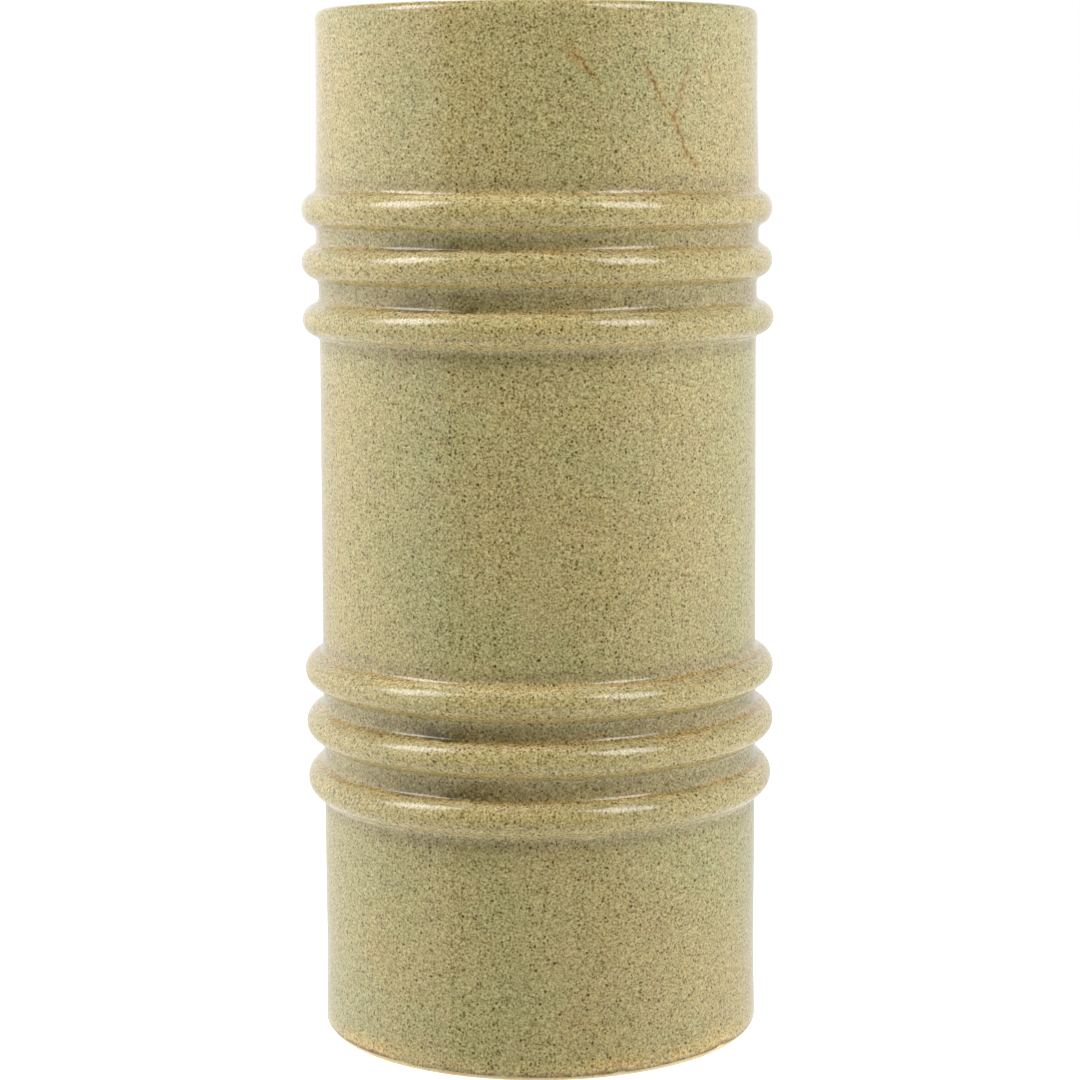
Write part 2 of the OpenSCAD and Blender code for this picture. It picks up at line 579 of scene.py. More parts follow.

# A dark olive is laid over the four hollows between rings, and a little under the lowest ring of
# each group. It is partly glaze that pooled there and partly painted shade and shadow. It is
# strongest a little left of the front, and here and there behind.
# Each place is (degrees to the right of the front, half width in degrees, strength).
POOL_AND_SHADE_PLACES = [(-25, 17, 1.0), (30, 9, 0.35), (105, 24, 0.8), (-150, 20, 0.7)]
POOL_AND_SHADE_ELSEWHERE = 0.15
# Under a group the dark olive, partly painted shadow, is half as strong this far below its lowest ring, and
# then none.
HALF_POOL_AND_SHADE = 9
NO_POOL_AND_SHADE = 14
hollow_levels = [0.0]
hollow_shares = [0.0]
for group in (ring_levels[:3], ring_levels[3:]):
    hollow_levels += [group[0] - NO_POOL_AND_SHADE, group[0] - HALF_POOL_AND_SHADE, group[0], group[2], group[2] + 1]
    hollow_shares += [0.0, 0.5, 1.0, 1.0, 0.0]
to_right = np.degrees((around - BACK) % (2 * math.pi)) - 180
pool_and_shade = np.full(TURNS, POOL_AND_SHADE_ELSEWHERE)
for middle, half_width, strength in POOL_AND_SHADE_PLACES:
    apart = (to_right - middle + 180) % 360 - 180
    pool_and_shade += strength * np.exp(-((apart / half_width) ** 2))
pool_and_shade_share = np.interp(outer_face[:, 1], hollow_levels, hollow_shares)[:, None] * pool_and_shade
remember(coat, coat_outline, "pool_and_shade_share", over_coat(pool_and_shade_share, 0.0))
print("crests along the outer face, mm:", [round(at, 1) for at in crest_at])

# %% [markdown]
# In a few places the glaze crawled or ran while it was melting and left a thin rusty vein
# down the wall. A vein is a short list of points, each a distance to the right of the front
# and a height, in millimetres. The coat remembers how far each point is to the side of each
# vein, and how strong the vein is there, and the glaze draws a fine broken line where that
# distance is nought.

# %% Veins
# Each point is (distance to the right, height, strength).
VEINS = [
    [(7.6, 268.6, 0.4), (9.8, 267.0, 0.8), (11.2, 265.2, 0.9), (13.9, 261.3, 0.4), (17.5, 257.5, 0.2)],
    [
        (27.0, 263.2, 1.0),
        (29.4, 262.6, 1.2),
        (31.9, 259.2, 0.9),
        (33.7, 255.2, 0.6),
        (36.4, 251.5, 0.5),
        (38.9, 247.9, 0.5),
        (40.5, 243.6, 1.0),
        (43.2, 240.7, 1.0),
        (46.3, 236.7, 0.5),
    ],
    [(43.3, 264.8, 0.6), (41.0, 260.0, 0.5), (39.2, 254.4, 0.6), (37.4, 250.7, 0.6)],
    [(48.8, 265.0, 0.4), (51.3, 258.1, 0.3)],
]
# The side distance, in mm, that hidden points get, where no vein can reach.
FAR_AWAY = 50.0
front_distance = ((around - BACK) % (2 * math.pi) - math.pi) * (clay_radius + glaze_thickness)
coat_levels = outer_face[:, 1]
for number, vein in enumerate(VEINS, start=1):
    across, level, strength = np.array(vein)[::-1].T
    to_side = front_distance - np.interp(coat_levels, level, across)[:, None]
    past_end = np.maximum(level[0] - coat_levels, coat_levels - level[-1]).clip(0)
    shown = np.interp(coat_levels, level, strength) * (past_end == 0) * (coat_levels < lip_z)
    shown = np.broadcast_to(shown[:, None], to_side.shape)
    remember(coat, coat_outline, f"vein_{number}_side", over_coat(to_side, FAR_AWAY))
    remember(coat, coat_outline, f"vein_{number}_strength", over_coat(shown, 0.0))
print("veins:", len(VEINS))

# %% [markdown]
# ## The glaze lining
#
# The inside is glazed so that the vase holds water. The lining meets the coat on the inner
# side of the lip, runs down over the throwing ripples and pools a little on the floor.

# %% Lining
wet_side = spaced(bore_outline(glaze_thickness), spacing=2.0)
clay_side = spaced(bore_outline(0.0)[::-1], spacing=6.0)
lining_outline = np.vstack([wet_side, clay_side])
lining = turned_piece("glaze_lining", lining_outline, WET_SHARE, len(clay_side))
placed(lining, "inner_glaze")

# %% [markdown]
# ## Two small helpers for materials
#
# A material is a tree of nodes. One function adds any node, with its settings, its inputs
# and, where it has one, its colour ramp. The other turns a colour written as sRGB hex, as a
# picker shows it, into the linear light values that Blender's sockets take.


# %% Colour and node helpers
def linear(hex_colour, alpha=1.0):
    """An sRGB hex colour as linear red, green, blue and alpha."""
    parts = [int(hex_colour[i : i + 2], 16) / 255 for i in (1, 3, 5)]
    return [c / 12.92 if c <= 0.04045 else ((c + 0.055) / 1.055) ** 2.4 for c in parts] + [alpha]


def node(tree, kind, inputs=None, stops=None, **settings):
    """Adds a node of a kind, such as TexNoise, with its settings and, where it has one, its ramp.

    inputs maps a live input's name or number to a value, a socket or another node.
    """
    made = tree.nodes.new("ShaderNode" + kind)
    for name, value in settings.items():
        setattr(made, name, value)
    live = [socket for socket in made.inputs if socket.enabled]
    for key, value in (inputs or {}).items():
        socket = live[key] if isinstance(key, int) else next(s for s in live if s.name == key)
        if isinstance(value, bpy.types.Node):
            value = next(output for output in value.outputs if output.enabled)
        if isinstance(value, bpy.types.NodeSocket):
            tree.links.new(value, socket)
        else:
            socket.default_value = value
    if stops:
        elements = made.color_ramp.elements
        while len(elements) < len(stops):
            elements.new(0.5)
        for element, (position, colour) in zip(elements, stops):
            element.position = position
            element.color = colour
    return made


def start_material(name):
    """A material with one shader on its output, its tree, the shader and the place in mm."""
    material = bpy.data.materials.new(name)
    material.use_nodes = True
    tree = material.node_tree
    tree.nodes.clear()
    shader = node(tree, "BsdfPrincipled")
    node(tree, "OutputMaterial", {"Surface": shader})
    place = node(tree, "TexCoord").outputs["Object"]
    in_mm = node(tree, "VectorMath", {0: place, "Scale": 1 / MM}, operation="SCALE")
    return material, tree, shader, in_mm


print("a mid grey as linear light:", [round(part, 3) for part in linear("#808080")])

# %% [markdown]
# ## Bare stoneware
#
# Stoneware is clay fired until it is nearly glass. Buff stoneware keeps a sandy skin: it is
# matt, its iron shows as small rusty specks, and coarse sand stands slightly proud. Where
# it is bare next to the glaze, the kiln toasts it a warmer colour. The eye reads a dry, warm
# surface that shows no highlight, which sets off the gloss beside it.

# %% Fired clay
# Sizes in mm. Real sand is finer, and its grain is drawn about half a millimetre wide to show.
CLOUD_SIZE = 16
TOAST_SIZE = 7
SAND_GRAIN = 0.55
IRON_SPACING = 2.4
IRON_SIZE = 0.55
TURNING_PITCH = 1.1
# The lines of a wave texture are this far apart when its scale is 1.
WAVE_SPACING = 0.314
CLAY_RELIEF = 0.06
IRON_BROWN = "#6A4427"
# Fired clay has the index of glass, but its dry skin sends back less of the light.
CLAY_IOR = 1.45
CLAY_SHINE = 0.35


def fired_clay(name, pale, warm, toasted, turned):
    """Bare fired stoneware. turned is how strongly the turning tool's lines show, from 0 to 1."""
    material, tree, shader, in_mm = start_material(name)
    cloud = node(tree, "TexNoise", {"Vector": in_mm, "Scale": 1 / CLOUD_SIZE, "Detail": 3.0})
    body = node(tree, "ValToRGB", {0: cloud}, [(0.35, linear(pale)), (0.65, linear(warm))])
    toast = node(tree, "TexNoise", {"Vector": in_mm, "Scale": 1 / TOAST_SIZE, "Detail": 4.0})
    toast = node(tree, "MapRange", {"Value": toast, "From Min": 0.48, "From Max": 0.72, "To Max": 0.7})
    body = node(tree, "Mix", {"Factor": toast, "A": body, "B": linear(toasted)}, data_type="RGBA")
    grain = node(tree, "TexNoise", {"Vector": in_mm, "Scale": 1 / SAND_GRAIN, "Detail": 2.0})
    shade = node(
        tree, "MapRange", {"Value": grain, "From Min": 0.3, "From Max": 0.7, "To Min": 0.86, "To Max": 1.1}
    )
    body = node(
        tree, "Mix", {"Factor": 1.0, "A": body, "B": shade}, data_type="RGBA", blend_type="MULTIPLY"
    )
    cells = node(tree, "TexVoronoi", {"Vector": in_mm, "Scale": 1 / IRON_SPACING})
    speck = IRON_SIZE / IRON_SPACING
    iron = node(
        tree,
        "MapRange",
        {"Value": cells, "From Min": 0.3 * speck, "From Max": 0.6 * speck, "To Min": 0.8, "To Max": 0.0},
        interpolation_type="SMOOTHSTEP",
    )
    body = node(tree, "Mix", {"Factor": iron, "A": body, "B": linear(IRON_BROWN)}, data_type="RGBA")
    tree.links.new(body.outputs[2], shader.inputs["Base Color"])
    rough = node(
        tree, "MapRange", {"Value": grain, "From Min": 0.3, "From Max": 0.7, "To Min": 0.78, "To Max": 0.95}
    )
    tree.links.new(rough.outputs[0], shader.inputs["Roughness"])
    shader.inputs["IOR"].default_value = CLAY_IOR
    shader.inputs["Specular IOR Level"].default_value = CLAY_SHINE
    lines = node(
        tree,
        "TexWave",
        {"Vector": in_mm, "Scale": WAVE_SPACING / TURNING_PITCH, "Distortion": 1.5, "Detail": 2.0},
        wave_type="RINGS",
        rings_direction="Z",
    )
    lines = node(tree, "Math", {0: lines, 1: turned}, operation="MULTIPLY")
    relief = node(tree, "Math", {0: grain, 1: lines}, operation="ADD")
    bump = node(tree, "Bump", {"Strength": 1.0, "Distance": CLAY_RELIEF * MM, "Height": relief})
    tree.links.new(bump.outputs[0], shader.inputs["Normal"])
    return material


thrown_clay = fired_clay("fired_buff_stoneware_thrown", "#D6C09A", "#C9AD82", "#B98D5E", turned=0.3)
turned_clay = fired_clay("fired_buff_stoneware_turned", "#DDC8A4", "#D0B48A", "#BF9566", turned=0.8)
# The foot's clay is much paler than the rest. This is partly its own colour and partly painted light, so
# that the band above the table looks brightly lit.
wiped_clay_with_painted_light = fired_clay("fired_buff_stoneware_wiped_painted_light", "#F4E4BC", "#EED8A8", "#E2C28C", turned=0.6)
rolled_clay = fired_clay("fired_buff_stoneware_rolled", "#D2BA92", "#C4A67A", "#B08558", turned=0.1)
wall.data.materials.append(thrown_clay)
floor_disc.data.materials.append(turned_clay)
foot_ring.data.materials.append(wiped_clay_with_painted_light)
for ring in RINGS:
    bpy.data.objects[ring.replace("ring", "coil")].data.materials.append(rolled_clay)
print("clay materials:", [material.name for material in bpy.data.materials])

# %% [markdown]
# ## The speckled glaze
#
# This is a glossy semi-opaque stoneware glaze: a sage ground, a dense pepper of iron specks
# from the clay that melt out into it, and soft clouds where it came out greener, pinker or
# more ochre. On the rings it breaks: thin and orange-brown along the upper edge, and pale cream
# over the shoulder, which is also painted lighter as if lit from above. In the hollow below it is
# grey and thick, and there it is also painted darker as shade. The gloss is that of glass, with an
# index near 1.5, a little blurred by the specks and an orange-peel skin.
#
# The specks come from Voronoi cells: each cell's centre is one speck, and each cell's random
# colour says whether it shows, how large it is and how dark. They live in space and not on a
# map, so they look the same on the wall, the coils and over the lip. The finest pepper of a
# real glaze, a few tenths of a millimetre, wouldn't show, so it is drawn as a grain of about
# half a millimetre between the larger specks.

# %% Specks
GROUND_SAGE = "#ACA16C"
GROUND_GREEN = "#A49E6B"
GROUND_OCHRE = "#B09F68"
GROUND_PINK = "#B09B71"
SPECK_OLIVE = "#5A4616"
SPECK_BROWN = "#46300F"
SPECK_RUST = "#8A5A30"
FLECK_PALE = "#E6DDB0"

# A speck's radius runs from the first to the second of these shares of its full size. Its
# solid core is a share of that, and the palest speck has a share of the full strength.
SMALLEST = 0.6
LARGEST = 1.25
CORE = 0.5
FAINTEST = 0.35


def specks(tree, place, spacing, size, share):
    """A mask of round specks: their spacing and size in mm, and the share of cells with one."""
    cells = node(tree, "TexVoronoi", {"Vector": place, "Scale": 1 / spacing})
    chance = node(tree, "SeparateColor", {"Color": cells.outputs["Color"]})
    radius = size / 2 / spacing
    reach = node(
        tree,
        "MapRange",
        {"Value": chance.outputs["Red"], "To Min": SMALLEST * radius, "To Max": LARGEST * radius},
    )
    core = node(tree, "Math", {0: reach, 1: CORE}, operation="MULTIPLY")
    away = cells.outputs["Distance"]
    disc = node(
        tree,
        "MapRange",
        {"Value": away, "From Min": core, "From Max": reach, "To Min": 1.0, "To Max": 0.0},
        interpolation_type="SMOOTHSTEP",
    )
    draw = chance.outputs["Green"]
    strength = node(
        tree,
        "MapRange",
        {"Value": draw, "From Min": 1 - share, "From Max": 1.0, "To Min": FAINTEST, "To Max": 1.0},
    )
    there = node(tree, "Math", {0: draw, 1: 1 - share}, operation="GREATER_THAN")
    strength = node(tree, "Math", {0: strength, 1: there}, operation="MULTIPLY")
    return node(tree, "Math", {0: disc, 1: strength}, operation="MULTIPLY")


# %% Ground colour of the glaze
BROAD_CLOUD = 42
# Smaller clouds: size in mm, where in space the cloud is taken from, colour and strength.
CLOUDS = [
    (9.0, 40.0, GROUND_PINK, 0.4),
    (5.0, 90.0, GROUND_GREEN, 0.5),
    (4.0, 140.0, GROUND_OCHRE, 0.4),
]


def glaze_ground(tree, in_mm):
    """The glaze's colour before its specks, from four sizes of cloud."""
    broad = node(tree, "TexNoise", {"Vector": in_mm, "Scale": 1 / BROAD_CLOUD, "Detail": 2.0})
    stops = [(0.36, linear(GROUND_GREEN)), (0.5, linear(GROUND_SAGE)), (0.66, linear(GROUND_OCHRE))]
    ground = node(tree, "ValToRGB", {0: broad}, stops)
    for size, offset, colour, amount in CLOUDS:
        moved = node(tree, "VectorMath", {0: in_mm, 1: [offset] * 3}, operation="ADD")
        cloud = node(tree, "TexNoise", {"Vector": moved, "Scale": 1 / size, "Detail": 3.0})
        cloud = node(
            tree, "MapRange", {"Value": cloud, "From Min": 0.5, "From Max": 0.68, "To Max": amount}
        )
        ground = node(tree, "Mix", {"Factor": cloud, "A": ground, "B": linear(colour)}, data_type="RGBA")
    return ground


print("clouds in the ground:", len(CLOUDS) + 1)

# %% [markdown]
# The bands of a ring are a colour ramp along the distance from its crest. Each stop has an
# alpha, which says how much of the ground it covers. The ramp also paints light and shade: it is
# darker in the hollows on both sides of a ring, as painted shade, and paler over the shoulder, as
# painted light on top of a real break of the glaze there. Two drifts, one wide and one narrow,
# move the bands a little up and down, so that their edges waver as a melt's do, and a third
# makes them stronger here and weaker there. The lip and the lower edge of the glaze have
# their own, narrower bands. In the hollows a dark olive is laid over in places, which is partly
# pooled glaze and partly painted shade.

# %% Bands on the rings, at the lip and above the foot
# Each stop is (distance in mm, colour, how much of the ground it covers).
# The dark stops near both ends, in the hollows, are partly painted shade. The pale stops over the shoulder,
# from 3 to 5.3 mm, are partly painted light.
RING_BANDS_AND_SHADING = [
    (-12.0, "#A59A66", 0.0),
    (-9.5, "#95885E", 0.55),
    (-8.2, "#A4976C", 0.6),
    (-7.2, "#A6996A", 0.65),
    (-6.2, "#CCB77F", 0.6),
    (-4.2, "#CAB47A", 0.65),
    (-1.5, "#B6A368", 0.6),
    (1.2, "#B9A66C", 0.6),
    (3.0, "#BFAD78", 0.6),
    (4.6, "#C4B288", 0.7),
    (5.3, "#CCB886", 0.75),
    (5.8, "#B38B46", 0.72),
    (6.4, "#B3955C", 0.65),
    (7.0, "#AA9468", 0.62),
    (8.2, "#A29063", 0.55),
    (9.5, "#8D8059", 0.55),
    (12.0, "#A59A66", 0.0),
]
# Dark olive for the hollows and under each group: partly pooled glaze, partly painted shade.
POOL_AND_SHADE_OLIVE = "#5E5228"
POOL_AND_SHADE_BANDS = [
    (-9.5, POOL_AND_SHADE_OLIVE, 0.35),
    (-8.2, POOL_AND_SHADE_OLIVE, 0.1),
    (-7.0, POOL_AND_SHADE_OLIVE, 0.0),
    (5.9, POOL_AND_SHADE_OLIVE, 0.0),
    (6.5, POOL_AND_SHADE_OLIVE, 0.85),
    (7.8, POOL_AND_SHADE_OLIVE, 0.75),
    (9.5, POOL_AND_SHADE_OLIVE, 0.35),
]
LIP_BANDS = [
    (-4.0, "#B9AC74", 0.0),
    (-2.2, "#A8905A", 0.35),
    (-1.5, "#D2C289", 0.8),
    (0.6, "#DACB96", 0.9),
    (2.0, "#B29A63", 0.5),
    (4.0, "#B1A870", 0.0),
]
FOOT_BANDS = [
    (0.0, "#7E5A2C", 0.85),
    (0.35, "#8A6A36", 0.7),
    (0.9, "#CDB070", 0.75),
    (3.0, "#C4A862", 0.6),
    (7.0, "#B3A462", 0.0),
]


def from_nearest_crest(tree, along):
    """Distance along the outline from the nearest ring crest, more than nought above it."""
    halfway = [(low + high) / 2 for low, high in zip(crest_at[:-1], crest_at[1:])]
    stops = []
    for edge, at in zip([0, *halfway], crest_at):
        stops.append((edge / outline_length, [at / outline_length] * 3 + [1]))
    part = node(tree, "Math", {0: along, 1: 1 / outline_length}, operation="MULTIPLY")
    nearest = node(tree, "ValToRGB", {0: part}, stops)
    nearest.color_ramp.interpolation = "CONSTANT"
    nearest = node(tree, "Math", {0: nearest, 1: outline_length}, operation="MULTIPLY")
    return node(tree, "Math", {0: along, 1: nearest}, operation="SUBTRACT")


def drift(tree, in_mm, size, low, high, offset=0.0):
    """A melt's slow change from place to place, between two values.

    size is how wide the change is, in mm, and offset takes it from another place in space.
    """
    moved = node(tree, "VectorMath", {0: in_mm, 1: [offset] * 3}, operation="ADD")
    cloud = node(tree, "TexNoise", {"Vector": moved, "Scale": 1 / size, "Detail": 2.0})
    return node(
        tree, "MapRange", {"Value": cloud, "From Min": 0.3, "From Max": 0.7, "To Min": low, "To Max": high}
    )


def banded(tree, ground, distance, bands, amount):
    """The ground with bands of colour laid over it by distance, amount times as strong."""
    nearest = bands[0][0]
    width = bands[-1][0] - nearest
    along = node(tree, "MapRange", {"Value": distance, "From Min": nearest, "From Max": nearest + width})
    stops = [((at - nearest) / width, linear(colour, alpha)) for at, colour, alpha in bands]
    colours = node(tree, "ValToRGB", {0: along}, stops)
    cover = node(
        tree, "Math", {0: colours.outputs["Alpha"], 1: amount}, operation="MULTIPLY", use_clamp=True
    )
    return node(
        tree, "Mix", {"Factor": cover, "A": ground, "B": colours.outputs["Color"]}, data_type="RGBA"
    )


def rings_lip_and_foot(tree, in_mm, ground):
    """All the bands of the coat, with their painted shade and light, laid over the ground."""
    along = node(tree, "Attribute", attribute_name="along_outline").outputs["Fac"]

    from_crest = from_nearest_crest(tree, along)
    slow = drift(tree, in_mm, size=18.0, low=-0.6, high=0.6)
    quick = drift(tree, in_mm, size=2.2, low=-0.55, high=0.55)
    for waver in (slow, quick):
        from_crest = node(tree, "Math", {0: from_crest, 1: waver}, operation="ADD")
    amount = drift(tree, in_mm, size=4.0, low=0.35, high=1.3, offset=200.0)
    ground = banded(tree, ground, from_crest, RING_BANDS_AND_SHADING, amount)

    # Where the coat keeps a share, a dark olive is laid over: partly pooled glaze, partly painted shade.
    hollow = node(tree, "Attribute", attribute_name="pool_and_shade_share").outputs["Fac"]
    uneven = drift(tree, in_mm, size=9.0, low=0.3, high=1.3, offset=310.0)
    pool_and_shade = node(tree, "Math", {0: hollow, 1: uneven}, operation="MULTIPLY")
    ground = banded(tree, ground, from_crest, POOL_AND_SHADE_BANDS, pool_and_shade)

    waver = drift(tree, in_mm, size=3.0, low=-0.6, high=0.6, offset=60.0)
    from_lip = node(tree, "Math", {0: along, 1: lip_at}, operation="SUBTRACT")
    from_lip = node(tree, "Math", {0: from_lip, 1: waver}, operation="ADD")
    amount = drift(tree, in_mm, size=8.0, low=0.6, high=1.1, offset=220.0)
    ground = banded(tree, ground, from_lip, LIP_BANDS, amount)

    waver = drift(tree, in_mm, size=3.0, low=-0.4, high=0.4, offset=80.0)
    from_edge = node(tree, "Math", {0: along, 1: waver}, operation="ADD")
    amount = drift(tree, in_mm, size=14.0, low=0.2, high=1.4, offset=240.0)
    return banded(tree, ground, from_edge, FOOT_BANDS, amount)


print("bands on a ring:", len(RING_BANDS_AND_SHADING))

# %% Veins in the glaze
# Each vein is a thin dark line in a wider halo: (half width in mm, colour, from, to), where
# the last two say how broken it is, because what comes out under nought doesn't show.
VEIN_LAYERS = [
    (2.2, "#B88A36", 0.0, 1.05),
    (0.8, "#5E4016", -0.4, 1.9),
]


def veined(tree, in_mm, ground):
    """The ground with its thin rusty veins."""
    for number in range(1, len(VEINS) + 1):
        side = node(tree, "Attribute", attribute_name=f"vein_{number}_side")
        side = side.outputs["Fac"]
        strength = node(tree, "Attribute", attribute_name=f"vein_{number}_strength")
        strength = strength.outputs["Fac"]
        slow = drift(tree, in_mm, size=3.0, low=-0.7, high=0.7, offset=11.0)
        quick = drift(tree, in_mm, size=0.9, low=-0.35, high=0.35, offset=11.0)
        for waver in (slow, quick):
            side = node(tree, "Math", {0: side, 1: waver}, operation="ADD")
        side = node(tree, "Math", {0: side}, operation="ABSOLUTE")
        for half_width, colour, low, high in VEIN_LAYERS:
            line = node(
                tree, "MapRange", {"Value": side, "From Max": half_width, "To Min": 1.0, "To Max": 0.0}
            )
            line = node(tree, "Math", {0: line, 1: strength}, operation="MULTIPLY")
            gaps = drift(tree, in_mm, 1.3, low, high, offset=31.0)
            line = node(tree, "Math", {0: line, 1: gaps}, operation="MULTIPLY", use_clamp=True)
            ground = node(tree, "Mix", {"Factor": line, "A": ground, "B": linear(colour)}, data_type="RGBA")
    return ground


print("layers of a vein:", len(VEIN_LAYERS))

# %% The finished glaze
# Sizes in mm.
PEPPER_SIZE = 0.58
DRIFT_SIZE = 0.9
DRIFT_REACH = 0.5
GLOSS_PATCH = 9
PEEL_SIZE = 2.4
SKIN_RELIEF = 0.03
# A speck melts out and sinks, so it lies this share of the relief below the skin.
PIT_DEPTH = -0.3
GLAZE_IOR = 1.5
SHARPEST = 0.11
DULLEST = 0.17
# The pepper darkens the ground by the first of these colours and lightens it by the second.
PEPPER_DARK = (0.5, 0.46, 0.28)
PEPPER_LIGHT = (1.54, 1.58, 1.78)
# Each layer of specks: spacing and size in mm, share of cells, colour, strength, and where
# in space its cells are taken from.
SPECK_LAYERS = [
    (1.1, 0.9, 0.85, FLECK_PALE, 0.35, 17.0),
    (0.95, 0.78, 0.95, SPECK_OLIVE, 0.8, 0.0),
    (1.25, 0.9, 0.6, SPECK_BROWN, 0.92, 31.0),
    (2.4, 0.95, 0.4, SPECK_RUST, 0.8, 53.0),
]


def glossy_glaze(name, with_bands):
    """The stoneware glaze: ground, bands where the piece has rings, specks, gloss and skin."""
    material, tree, shader, in_mm = start_material(name)
    colour = glaze_ground(tree, in_mm)
    if with_bands:
        colour = rings_lip_and_foot(tree, in_mm, colour)
    wobble = node(tree, "TexNoise", {"Vector": in_mm, "Scale": 1 / DRIFT_SIZE, "Detail": 1.0})
    wobble = node(tree, "VectorMath", {0: wobble.outputs["Color"], "Scale": DRIFT_REACH}, operation="SCALE")
    speck_place = node(tree, "VectorMath", {0: in_mm, 1: wobble}, operation="ADD")
    pepper = node(
        tree, "TexNoise", {"Vector": in_mm, "Scale": 1 / PEPPER_SIZE, "Detail": 1.0, "Roughness": 0.6}
    )
    shade = node(
        tree,
        "MapRange",
        {0: pepper, 1: [0.25] * 3, 2: [0.75] * 3, 3: PEPPER_DARK, 4: PEPPER_LIGHT},
        data_type="FLOAT_VECTOR",
    )
    colour = node(
        tree, "Mix", {"Factor": 1.0, "A": colour, "B": shade}, data_type="RGBA", blend_type="MULTIPLY"
    )
    for spacing, size, share, speck_colour, amount, offset in SPECK_LAYERS:
        moved = node(tree, "VectorMath", {0: speck_place, 1: [offset] * 3}, operation="ADD")
        mask = specks(tree, moved, spacing, size, share)
        mask = node(tree, "Math", {0: mask, 1: amount}, operation="MULTIPLY")
        colour = node(
            tree, "Mix", {"Factor": mask, "A": colour, "B": linear(speck_colour)}, data_type="RGBA"
        )
    if with_bands:
        colour = veined(tree, in_mm, colour)
    tree.links.new(colour.outputs[2], shader.inputs["Base Color"])
    patch = node(tree, "TexNoise", {"Vector": in_mm, "Scale": 1 / GLOSS_PATCH, "Detail": 2.0})
    rough = node(
        tree,
        "MapRange",
        {"Value": patch, "From Min": 0.3, "From Max": 0.7, "To Min": SHARPEST, "To Max": DULLEST},
    )
    tree.links.new(rough.outputs[0], shader.inputs["Roughness"])
    shader.inputs["IOR"].default_value = GLAZE_IOR
    peel = node(tree, "TexNoise", {"Vector": in_mm, "Scale": 1 / PEEL_SIZE, "Detail": 2.0})
    pitted = node(tree, "Math", {0: mask, 1: PIT_DEPTH, 2: peel}, operation="MULTIPLY_ADD")
    bump = node(tree, "Bump", {"Strength": 1.0, "Distance": SKIN_RELIEF * MM, "Height": pitted})
    tree.links.new(bump.outputs[0], shader.inputs["Normal"])
    return material


coat.data.materials.append(glossy_glaze("speckled_sage_glaze_fired_glossy", with_bands=True))
lining.data.materials.append(glossy_glaze("sage_glaze_lining_fired_glossy", with_bands=False))
print("glaze nodes:", len(coat.data.materials[0].node_tree.nodes))

# %% [markdown]
# ## Floor, light and camera
#
# The vase stands on a pale floor that runs out of sight. Two soft lights, high on the left
# and the right, give the long highlights on the rings. A pale surround, bright at the sides
# and dark behind the camera, gives the bright outline and the deeper colour in the middle.
# The camera itself sees the surround as plain white from every side. The floor throws no
# light back at the pot and is clear from below, so that the foot can be looked at too.

# %% Floor
FLOOR_HALF = 6.0
floor_corners = [(FLOOR_HALF * x, FLOOR_HALF * y, 0) for x, y in ((-1, -1), (1, -1), (1, 1), (-1, 1))]
floor_mesh = bpy.data.meshes.new("studio_floor")
floor_mesh.from_pydata(floor_corners, [], [(0, 1, 2, 3)])
floor = bpy.data.objects.new("studio_floor", floor_mesh)
bpy.context.scene.collection.objects.link(floor)
floor_material, floor_tree, floor_shader, _ = start_material("white_painted_board")
floor_shader.inputs["Base Color"].default_value = linear("#F4F4F2")
floor_shader.inputs["Roughness"].default_value = 0.9
floor_shader.inputs["Emission Color"].default_value = linear("#FFFFFF")
floor_shader.inputs["Emission Strength"].default_value = 1.0
below = node(floor_tree, "NewGeometry").outputs["Backfacing"]
clear = node(floor_tree, "BsdfTransparent")
one_sided = node(floor_tree, "MixShader", {0: below, 1: floor_shader, 2: clear})
floor_output = next(part for part in floor_tree.nodes if part.type == "OUTPUT_MATERIAL")
floor_tree.links.new(one_sided.outputs[0], floor_output.inputs["Surface"])
floor_mesh.materials.append(floor_material)
floor.visible_diffuse = False
floor.visible_glossy = False
floor.visible_shadow = False
print("floor, metres:", 2 * FLOOR_HALF)

# %% Pale surround
# Brightness of the studio round the pot, by the angle from the camera's side to the right.
# The ramp keeps each as a share of the peak, because its colours go no higher than 1.
SURROUND_PEAK = 2.0
SURROUND = [
    (-180, 0.95),
    (-155, 1.05),
    (-140, 1.2),
    (-122, 1.6),
    (-100, 1.92),
    (-75, 1.6),
    (-53, 1.2),
    (-46, 0.16),
    (-20, 0.04),
    (20, 0.04),
    (33, 0.24),
    (55, 1.04),
    (75, 1.36),
    (96, 1.52),
    (118, 1.28),
    (137, 1.04),
    (155, 0.95),
    (180, 0.95),
]
# Share of that brightness by the sine of the angle above the horizon.
SURROUND_HEIGHTS = [(-1.0, 0.15), (-0.45, 0.3), (-0.12, 0.75), (0.0, 1.0), (0.35, 1.0), (0.75, 0.0)]
# Light from every side that the walls and the floor of the studio throw back.
SOFT_FILL = [(-1.0, 1.2), (-0.5, 1.15), (-0.25, 0.3), (0.0, 0.05), (0.5, 0.08), (1.0, 0.15)]
